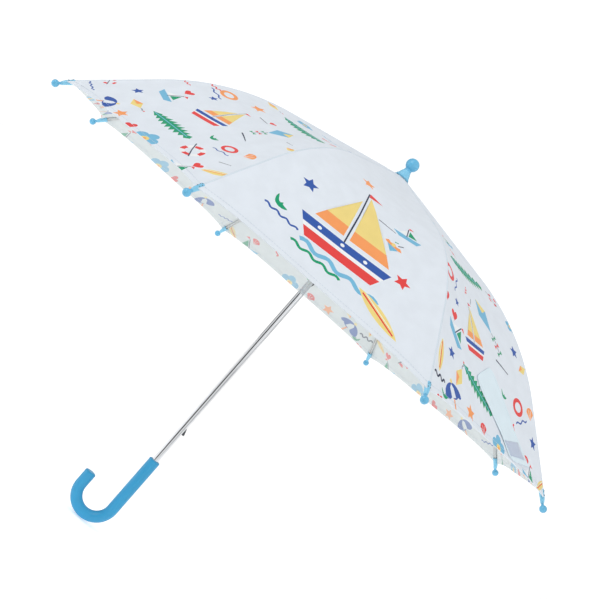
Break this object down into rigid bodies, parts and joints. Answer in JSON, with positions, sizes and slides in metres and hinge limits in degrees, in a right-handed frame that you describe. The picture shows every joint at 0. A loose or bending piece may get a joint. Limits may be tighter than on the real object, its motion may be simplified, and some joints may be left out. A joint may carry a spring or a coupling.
{
  "type": "children's umbrella",
  "caption": "Child's stick umbrella with a hooked plastic handle, steel shaft, sliding runner and a ribbed cloth canopy that folds down along the shaft.",
  "frame": {"origin": "middle of the straight grip, on the shaft's axis", "axes": "+Z along the shaft towards the ferrule; the handle's hook opens towards -Y and the spring catches face +Y; +X points at the middle of the plain front gore"},
  "size_m": [0.701, 0.701, 0.5795],
  "materials": {
    "shaft_chrome": "bright chrome plate",
    "frame_steel": "zinc-plated steel strip",
    "catch_steel": "blued spring steel",
    "handle_plastic": "satin moulded plastic",
    "trim_plastic": "satin moulded plastic",
    "runner_plastic": "satin moulded plastic",
    "canopy_cloth": "printed plain-weave pongee",
    "strap_cloth": "plain-weave pongee with a hook patch"
  },
  "bodies": {
    "frame": {"shaft": "shaft_chrome", "handle": "handle_plastic", "ferrule_cap": "trim_plastic", "ferrule_washer": "trim_plastic", "top_notch": "frame_steel", "notch_wire": "frame_steel", "stop_pin": "frame_steel"},
    "runner": {"runner": "runner_plastic"},
    "upper_catch": {"upper_catch": "catch_steel"},
    "lower_catch": {"lower_catch": "catch_steel"},
    "rib_1": {"rib_1": "frame_steel", "rivet_1": "frame_steel", "tip_1": "trim_plastic"},
    "stretcher_1": {"stretcher_1": "frame_steel"},
    "rib_2": {"rib_2": "frame_steel", "rivet_2": "frame_steel", "tip_2": "trim_plastic"},
    "stretcher_2": {"stretcher_2": "frame_steel"},
    "rib_3": {"rib_3": "frame_steel", "rivet_3": "frame_steel", "tip_3": "trim_plastic"},
    "stretcher_3": {"stretcher_3": "frame_steel"},
    "rib_4": {"rib_4": "frame_steel", "rivet_4": "frame_steel", "tip_4": "trim_plastic"},
    "stretcher_4": {"stretcher_4": "frame_steel"},
    "rib_5": {"rib_5": "frame_steel", "rivet_5": "frame_steel", "tip_5": "trim_plastic"},
    "stretcher_5": {"stretcher_5": "frame_steel"},
    "rib_6": {"rib_6": "frame_steel", "rivet_6": "frame_steel", "tip_6": "trim_plastic"},
    "stretcher_6": {"stretcher_6": "frame_steel"},
    "rib_7": {"rib_7": "frame_steel", "rivet_7": "frame_steel", "tip_7": "trim_plastic"},
    "stretcher_7": {"stretcher_7": "frame_steel"},
    "rib_8": {"rib_8": "frame_steel", "rivet_8": "frame_steel", "tip_8": "trim_plastic"},
    "stretcher_8": {"stretcher_8": "frame_steel"},
    "fold_1_a": {"gore_1_a": "canopy_cloth"},
    "fold_1_b": {"gore_1_b": "canopy_cloth"},
    "fold_2_a": {"gore_2_a": "canopy_cloth"},
    "fold_2_b": {"gore_2_b": "canopy_cloth", "closure_strap": "strap_cloth"},
    "fold_3_a": {"gore_3_a": "canopy_cloth"},
    "fold_3_b": {"gore_3_b": "canopy_cloth"},
    "fold_4_a": {"gore_4_a": "canopy_cloth"},
    "fold_4_b": {"gore_4_b": "canopy_cloth"},
    "fold_5_a": {"gore_5_a": "canopy_cloth"},
    "fold_5_b": {"gore_5_b": "canopy_cloth"},
    "fold_6_a": {"gore_6_a": "canopy_cloth"},
    "fold_6_b": {"gore_6_b": "canopy_cloth"},
    "fold_7_a": {"gore_7_a": "canopy_cloth"},
    "fold_7_b": {"gore_7_b": "canopy_cloth"},
    "fold_8_a": {"gore_8_a": "canopy_cloth"},
    "fold_8_b": {"gore_8_b": "canopy_cloth"}
  },
  "joints": [
    {"name": "runner_slide", "type": "slide", "parent": "frame", "child": "runner", "axis": [0, 0, -1], "range_m": [0, 0.26652], "deforming": ["gore_1_a", "gore_1_b", "gore_2_a", "gore_2_b", "gore_3_a", "gore_3_b", "gore_4_a", "gore_4_b", "gore_5_a", "gore_5_b", "gore_6_a", "gore_6_b", "gore_7_a", "gore_7_b", "gore_8_a", "gore_8_b", "closure_strap", "upper_catch", "lower_catch"]},
    {"name": "upper_catch_press", "type": "slide", "parent": "frame", "child": "upper_catch", "axis": [0, -1, 0], "range_m": [0, 0.0024], "stiffness_N_per_m": 400},
    {"name": "lower_catch_press", "type": "slide", "parent": "frame", "child": "lower_catch", "axis": [0, -1, 0], "range_m": [0, 0.0024], "stiffness_N_per_m": 400},
    {"name": "rib_1_hinge", "type": "hinge", "parent": "frame", "child": "rib_1", "pos_m": [0.00739, -0.00306, 0.47796], "axis": [0.3827, 0.9239, 0], "range_deg": [0, 60.1]},
    {"name": "stretcher_1_hinge", "type": "hinge", "parent": "rib_1", "child": "stretcher_1", "pos_m": [0.17744, -0.0735, 0.42567], "axis": [0.3827, 0.9239, 0], "range_deg": [-120.2, 0]},
    {"name": "rib_2_hinge", "type": "hinge", "parent": "frame", "child": "rib_2", "pos_m": [0.00739, 0.00306, 0.47796], "axis": [-0.3827, 0.9239, 0], "range_deg": [0, 60.1]},
    {"name": "stretcher_2_hinge", "type": "hinge", "parent": "rib_2", "child": "stretcher_2", "pos_m": [0.17744, 0.0735, 0.42567], "axis": [-0.3827, 0.9239, 0], "range_deg": [-120.2, 0]},
    {"name": "rib_3_hinge", "type": "hinge", "parent": "frame", "child": "rib_3", "pos_m": [0.00306, 0.00739, 0.47796], "axis": [-0.9239, 0.3827, 0], "range_deg": [0, 60.1]},
    {"name": "stretcher_3_hinge", "type": "hinge", "parent": "rib_3", "child": "stretcher_3", "pos_m": [0.0735, 0.17744, 0.42567], "axis": [-0.9239, 0.3827, 0], "range_deg": [-120.2, 0]},
    {"name": "rib_4_hinge", "type": "hinge", "parent": "frame", "child": "rib_4", "pos_m": [-0.00306, 0.00739, 0.47796], "axis": [-0.9239, -0.3827, 0], "range_deg": [0, 60.1]},
    {"name": "stretcher_4_hinge", "type": "hinge", "parent": "rib_4", "child": "stretcher_4", "pos_m": [-0.0735, 0.17744, 0.42567], "axis": [-0.9239, -0.3827, 0], "range_deg": [-120.2, 0]},
    {"name": "rib_5_hinge", "type": "hinge", "parent": "frame", "child": "rib_5", "pos_m": [-0.00739, 0.00306, 0.47796], "axis": [-0.3827, -0.9239, 0], "range_deg": [0, 60.1]},
    {"name": "stretcher_5_hinge", "type": "hinge", "parent": "rib_5", "child": "stretcher_5", "pos_m": [-0.17744, 0.0735, 0.42567], "axis": [-0.3827, -0.9239, 0], "range_deg": [-120.2, 0]},
    {"name": "rib_6_hinge", "type": "hinge", "parent": "frame", "child": "rib_6", "pos_m": [-0.00739, -0.00306, 0.47796], "axis": [0.3827, -0.9239, 0], "range_deg": [0, 60.1]},
    {"name": "stretcher_6_hinge", "type": "hinge", "parent": "rib_6", "child": "stretcher_6", "pos_m": [-0.17744, -0.0735, 0.42567], "axis": [0.3827, -0.9239, 0], "range_deg": [-120.2, 0]},
    {"name": "rib_7_hinge", "type": "hinge", "parent": "frame", "child": "rib_7", "pos_m": [-0.00306, -0.00739, 0.47796], "axis": [0.9239, -0.3827, 0], "range_deg": [0, 60.1]},
    {"name": "stretcher_7_hinge", "type": "hinge", "parent": "rib_7", "child": "stretcher_7", "pos_m": [-0.0735, -0.17744, 0.42567], "axis": [0.9239, -0.3827, 0], "range_deg": [-120.2, 0]},
    {"name": "rib_8_hinge", "type": "hinge", "parent": "frame", "child": "rib_8", "pos_m": [0.00306, -0.00739, 0.47796], "axis": [0.9239, 0.3827, 0], "range_deg": [0, 60.1]},
    {"name": "stretcher_8_hinge", "type": "hinge", "parent": "rib_8", "child": "stretcher_8", "pos_m": [0.0735, -0.17744, 0.42567], "axis": [0.9239, 0.3827, 0], "range_deg": [-120.2, 0]},
    {"name": "fold_1_a_hinge", "type": "hinge", "parent": "rib_1", "child": "fold_1_a", "pos_m": [0.00866, 0, 0.47796], "axis": [-0.8382, -0.4133, -0.3558], "range_deg": [0, 24.36]},
    {"name": "fold_1_b_hinge", "type": "hinge", "parent": "rib_2", "child": "fold_1_b", "pos_m": [0.00866, 0, 0.47796], "axis": [0.8382, -0.4133, 0.3558], "range_deg": [0, 24.36]},
    {"name": "fold_2_a_hinge", "type": "hinge", "parent": "rib_2", "child": "fold_2_a", "pos_m": [0.00612, 0.00612, 0.47796], "axis": [-0.3005, -0.8849, -0.3558], "range_deg": [0, 24.36]},
    {"name": "fold_2_b_hinge", "type": "hinge", "parent": "rib_3", "child": "fold_2_b", "pos_m": [0.00612, 0.00612, 0.47796], "axis": [0.8849, 0.3005, 0.3558], "range_deg": [0, 24.36]},
    {"name": "fold_3_a_hinge", "type": "hinge", "parent": "rib_3", "child": "fold_3_a", "pos_m": [0, 0.00866, 0.47796], "axis": [0.4133, -0.8382, -0.3558], "range_deg": [0, 24.36]},
    {"name": "fold_3_b_hinge", "type": "hinge", "parent": "rib_4", "child": "fold_3_b", "pos_m": [0, 0.00866, 0.47796], "axis": [0.4133, 0.8382, 0.3558], "range_deg": [0, 24.36]},
    {"name": "fold_4_a_hinge", "type": "hinge", "parent": "rib_4", "child": "fold_4_a", "pos_m": [-0.00612, 0.00612, 0.47796], "axis": [0.8849, -0.3005, -0.3558], "range_deg": [0, 24.36]},
    {"name": "fold_4_b_hinge", "type": "hinge", "parent": "rib_5", "child": "fold_4_b", "pos_m": [-0.00612, 0.00612, 0.47796], "axis": [-0.3005, 0.8849, 0.3558], "range_deg": [0, 24.36]},
    {"name": "fold_5_a_hinge", "type": "hinge", "parent": "rib_5", "child": "fold_5_a", "pos_m": [-0.00866, 0, 0.47796], "axis": [0.8382, 0.4133, -0.3558], "range_deg": [0, 24.36]},
    {"name": "fold_5_b_hinge", "type": "hinge", "parent": "rib_6", "child": "fold_5_b", "pos_m": [-0.00866, 0, 0.47796], "axis": [-0.8382, 0.4133, 0.3558], "range_deg": [0, 24.36]},
    {"name": "fold_6_a_hinge", "type": "hinge", "parent": "rib_6", "child": "fold_6_a", "pos_m": [-0.00612, -0.00612, 0.47796], "axis": [0.3005, 0.8849, -0.3558], "range_deg": [0, 24.36]},
    {"name": "fold_6_b_hinge", "type": "hinge", "parent": "rib_7", "child": "fold_6_b", "pos_m": [-0.00612, -0.00612, 0.47796], "axis": [-0.8849, -0.3005, 0.3558], "range_deg": [0, 24.36]},
    {"name": "fold_7_a_hinge", "type": "hinge", "parent": "rib_7", "child": "fold_7_a", "pos_m": [0, -0.00866, 0.47796], "axis": [-0.4133, 0.8382, -0.3558], "range_deg": [0, 24.36]},
    {"name": "fold_7_b_hinge", "type": "hinge", "parent": "rib_8", "child": "fold_7_b", "pos_m": [0, -0.00866, 0.47796], "axis": [-0.4133, -0.8382, 0.3558], "range_deg": [0, 24.36]},
    {"name": "fold_8_a_hinge", "type": "hinge", "parent": "rib_8", "child": "fold_8_a", "pos_m": [0.00612, -0.00612, 0.47796], "axis": [-0.8849, 0.3005, -0.3558], "range_deg": [0, 24.36]},
    {"name": "fold_8_b_hinge", "type": "hinge", "parent": "rib_1", "child": "fold_8_b", "pos_m": [0.00612, -0.00612, 0.47796], "axis": [0.3005, -0.8849, 0.3558], "range_deg": [0, 24.36]}
  ],
  "couplings": [
    {"joint": "rib_1_hinge", "follows": "runner_slide", "rad_per_m": 3.9292},
    {"joint": "stretcher_1_hinge", "follows": "runner_slide", "rad_per_m": -7.8583},
    {"joint": "rib_2_hinge", "follows": "runner_slide", "rad_per_m": 3.9292},
    {"joint": "stretcher_2_hinge", "follows": "runner_slide", "rad_per_m": -7.8583},
    {"joint": "rib_3_hinge", "follows": "runner_slide", "rad_per_m": 3.9292},
    {"joint": "stretcher_3_hinge", "follows": "runner_slide", "rad_per_m": -7.8583},
    {"joint": "rib_4_hinge", "follows": "runner_slide", "rad_per_m": 3.9292},
    {"joint": "stretcher_4_hinge", "follows": "runner_slide", "rad_per_m": -7.8583},
    {"joint": "rib_5_hinge", "follows": "runner_slide", "rad_per_m": 3.9292},
    {"joint": "stretcher_5_hinge", "follows": "runner_slide", "rad_per_m": -7.8583},
    {"joint": "rib_6_hinge", "follows": "runner_slide", "rad_per_m": 3.9292},
    {"joint": "stretcher_6_hinge", "follows": "runner_slide", "rad_per_m": -7.8583},
    {"joint": "rib_7_hinge", "follows": "runner_slide", "rad_per_m": 3.9292},
    {"joint": "stretcher_7_hinge", "follows": "runner_slide", "rad_per_m": -7.8583},
    {"joint": "rib_8_hinge", "follows": "runner_slide", "rad_per_m": 3.9292},
    {"joint": "stretcher_8_hinge", "follows": "runner_slide", "rad_per_m": -7.8583},
    {"joint": "fold_1_a_hinge", "follows": "runner_slide", "rad_per_m": 1.5886},
    {"joint": "fold_1_b_hinge", "follows": "runner_slide", "rad_per_m": 1.5886},
    {"joint": "fold_2_a_hinge", "follows": "runner_slide", "rad_per_m": 1.5886},
    {"joint": "fold_2_b_hinge", "follows": "runner_slide", "rad_per_m": 1.5886},
    {"joint": "fold_3_a_hinge", "follows": "runner_slide", "rad_per_m": 1.5886},
    {"joint": "fold_3_b_hinge", "follows": "runner_slide", "rad_per_m": 1.5886},
    {"joint": "fold_4_a_hinge", "follows": "runner_slide", "rad_per_m": 1.5886},
    {"joint": "fold_4_b_hinge", "follows": "runner_slide", "rad_per_m": 1.5886},
    {"joint": "fold_5_a_hinge", "follows": "runner_slide", "rad_per_m": 1.5886},
    {"joint": "fold_5_b_hinge", "follows": "runner_slide", "rad_per_m": 1.5886},
    {"joint": "fold_6_a_hinge", "follows": "runner_slide", "rad_per_m": 1.5886},
    {"joint": "fold_6_b_hinge", "follows": "runner_slide", "rad_per_m": 1.5886},
    {"joint": "fold_7_a_hinge", "follows": "runner_slide", "rad_per_m": 1.5886},
    {"joint": "fold_7_b_hinge", "follows": "runner_slide", "rad_per_m": 1.5886},
    {"joint": "fold_8_a_hinge", "follows": "runner_slide", "rad_per_m": 1.5886},
    {"joint": "fold_8_b_hinge", "follows": "runner_slide", "rad_per_m": 1.5886}
  ]
}
